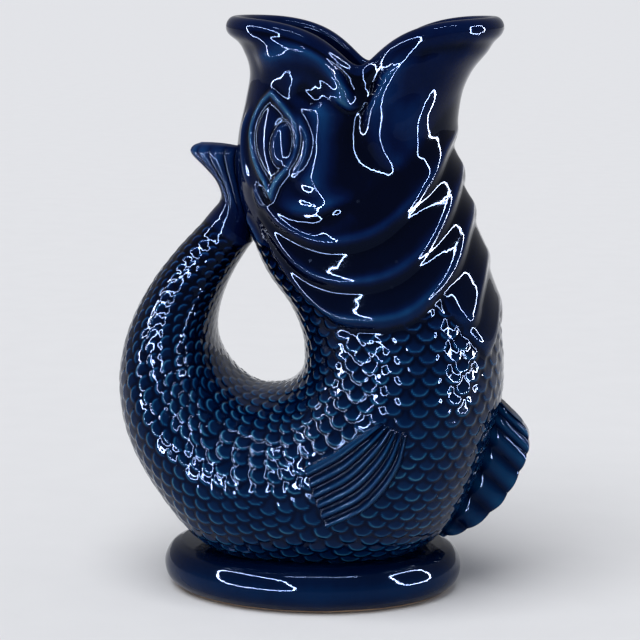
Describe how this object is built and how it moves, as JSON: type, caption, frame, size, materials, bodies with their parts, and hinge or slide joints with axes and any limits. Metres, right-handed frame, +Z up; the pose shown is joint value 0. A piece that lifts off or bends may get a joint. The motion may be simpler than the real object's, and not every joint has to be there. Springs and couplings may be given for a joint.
{
  "type": "gurgle jug",
  "caption": "Glazed ceramic jug in the shape of a fish on an oval foot, with an open mouth as the spout and a hollow tail bent round as the handle.",
  "frame": {"origin": "centre of the jug's box on the surface that it stands on", "axes": "+Z up, +X towards the lower jaw and the belly fin, -X towards the tail that is the handle; y = 0 is the middle plane"},
  "size_m": [0.176, 0.1126, 0.245],
  "materials": {
    "cobalt_glaze": "deep cobalt blue gloss glaze, paler where it breaks over edges",
    "foot_glaze": "the same cobalt glaze, thick and nearly black where it pools, with a bare clay line under the foot"
  },
  "bodies": {
    "root": {"head_shell": "cobalt_glaze", "throat_shell": "cobalt_glaze", "belly_shell": "cobalt_glaze", "tail_handle": "cobalt_glaze", "tail_fin": "cobalt_glaze", "foot": "foot_glaze", "gill_cover": "cobalt_glaze", "gill_fold_upper": "cobalt_glaze", "gill_fold_lower": "cobalt_glaze", "throat_leaf_upper": "cobalt_glaze", "throat_leaf_lower": "cobalt_glaze", "side_fin_near": "cobalt_glaze", "side_fin_far": "cobalt_glaze", "belly_fin": "cobalt_glaze", "eye_near": "cobalt_glaze", "eye_far": "cobalt_glaze"}
  },
  "joints": []
}
